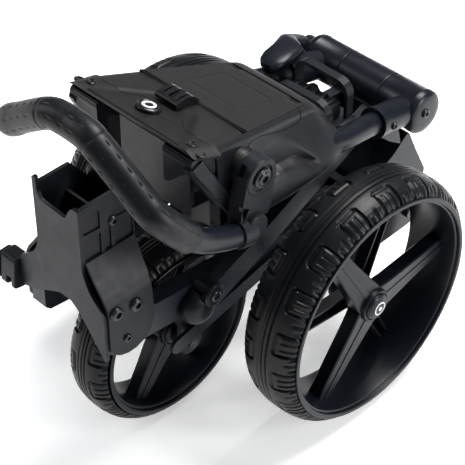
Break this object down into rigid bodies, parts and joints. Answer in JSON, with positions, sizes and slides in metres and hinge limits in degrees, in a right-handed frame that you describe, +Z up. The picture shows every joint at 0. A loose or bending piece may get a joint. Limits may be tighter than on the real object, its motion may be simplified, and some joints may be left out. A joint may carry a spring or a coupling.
{
  "type": "folding golf trolley",
  "caption": "Folding golf trolley, folded flat on its wheels: spoked wheels, lidded console, curved push handle, bag rest and hinged frame.",
  "frame": {"origin": "on the floor, under the middle of the folded trolley's bounding box", "axes": "+Z up, -Y towards the front wheel and the bag rest, +X towards the left-hand rear wheel"},
  "size_m": [0.356, 0.502, 0.4404],
  "materials": {
    "tyre_rubber": "solid foam-filled rubber with moulded tread",
    "rim_plastic": "satin blue-black moulding",
    "frame_paint": "satin powder coat",
    "moulded_nylon": "fine-textured glass-filled nylon",
    "lid_plastic": "grained matte moulding",
    "soft_rubber": "soft-touch padding",
    "gloss_black": "polished",
    "black_steel": "black oxide"
  },
  "bodies": {
    "chassis": {"rail_left": "frame_paint", "rail_right": "frame_paint", "rear_spine": "frame_paint", "main_hinge_pin": "black_steel", "leg_pivot_shaft": "black_steel", "brace_left": "frame_paint", "brace_right": "frame_paint", "brace_knuckle_left": "moulded_nylon", "brace_knuckle_right": "moulded_nylon", "side_strut_left": "frame_paint", "side_strut_right": "frame_paint", "dropout_left": "moulded_nylon", "dropout_right": "moulded_nylon", "front_axle": "black_steel", "bag_rest": "moulded_nylon", "cheek_left": "moulded_nylon", "cheek_right": "moulded_nylon", "cheek_screw_front_left": "black_steel", "cheek_screw_front_right": "black_steel", "cheek_screw_rear_left": "black_steel", "cheek_screw_rear_right": "black_steel", "bag_rest_tie": "moulded_nylon", "side_foot": "moulded_nylon", "side_foot_pad": "soft_rubber"},
    "front_wheel": {"front_wheel_tyre": "tyre_rubber", "front_wheel_rim": "rim_plastic", "front_wheel_hub_cap": "rim_plastic"},
    "leg_left": {"leg_left": "frame_paint", "rear_axle_left": "black_steel"},
    "leg_right": {"leg_right": "frame_paint", "rear_axle_right": "black_steel"},
    "rear_wheel_left": {"rear_wheel_left_tyre": "tyre_rubber", "rear_wheel_left_rim": "rim_plastic", "rear_wheel_left_hub_cap": "rim_plastic"},
    "rear_wheel_right": {"rear_wheel_right_tyre": "tyre_rubber", "rear_wheel_right_rim": "rim_plastic", "rear_wheel_right_hub_cap": "rim_plastic"},
    "upper_frame": {"hinge_sleeve_left": "frame_paint", "hinge_sleeve_right": "frame_paint", "barrel_end_bolt_left": "black_steel", "barrel_end_bolt_right": "black_steel", "frame_tube_left": "frame_paint", "frame_tube_right": "frame_paint", "console_body": "moulded_nylon", "console_bracket_left": "moulded_nylon", "console_bracket_right": "moulded_nylon", "console_badge": "gloss_black", "cradle_hoop_rear": "moulded_nylon", "cradle_hoop_front": "moulded_nylon", "cradle_plate": "moulded_nylon", "cradle_crossbar": "black_steel"},
    "console_lid": {"console_lid": "lid_plastic"},
    "lid_latch": {"lid_latch": "gloss_black"},
    "fold_lever": {"fold_lever": "frame_paint"},
    "handle": {"handle_bar": "frame_paint", "grip_left": "soft_rubber", "grip_centre": "soft_rubber", "grip_right": "soft_rubber", "handle_arm": "moulded_nylon", "handle_bolt": "black_steel"}
  },
  "joints": [
    {"name": "front_wheel_spin", "type": "hinge", "parent": "chassis", "child": "front_wheel", "pos_m": [0, -0.113, 0.113], "axis": [1, 0, 0], "continuous": true},
    {"name": "leg_left_fold", "type": "hinge", "parent": "chassis", "child": "leg_left", "pos_m": [0, 0.174, 0.15], "axis": [1, 0, 0], "range_deg": [0, 110]},
    {"name": "leg_right_fold", "type": "hinge", "parent": "chassis", "child": "leg_right", "pos_m": [0, 0.174, 0.15], "axis": [1, 0, 0], "range_deg": [0, 110]},
    {"name": "rear_wheel_left_spin", "type": "hinge", "parent": "leg_left", "child": "rear_wheel_left", "pos_m": [0.141, 0.037, 0.145], "axis": [1, 0, 0], "continuous": true},
    {"name": "rear_wheel_right_spin", "type": "hinge", "parent": "leg_right", "child": "rear_wheel_right", "pos_m": [-0.141, 0.037, 0.145], "axis": [1, 0, 0], "continuous": true},
    {"name": "main_hinge", "type": "hinge", "parent": "chassis", "child": "upper_frame", "pos_m": [0, 0.209, 0.258], "axis": [-1, 0, 0], "range_deg": [0, 135]},
    {"name": "lid_hinge", "type": "hinge", "parent": "upper_frame", "child": "console_lid", "pos_m": [0, 0.043, 0.34239], "axis": [-1, 0, 0], "range_deg": [0, 100]},
    {"name": "latch_hinge", "type": "hinge", "parent": "upper_frame", "child": "lid_latch", "pos_m": [0, -0.092, 0.38396], "axis": [1, 0, 0], "range_deg": [0, 70]},
    {"name": "fold_lever_pivot", "type": "hinge", "parent": "upper_frame", "child": "fold_lever", "pos_m": [0, 0.209, 0.258], "axis": [-1, 0, 0], "range_deg": [0, 50]},
    {"name": "handle_tilt", "type": "hinge", "parent": "upper_frame", "child": "handle", "pos_m": [0, -0.078, 0.35], "axis": [-1, 0, 0], "range_deg": [0, 75]}
  ],
  "couplings": [
    {"joint": "leg_right_fold", "follows": "leg_left_fold", "ratio": 1}
  ]
}
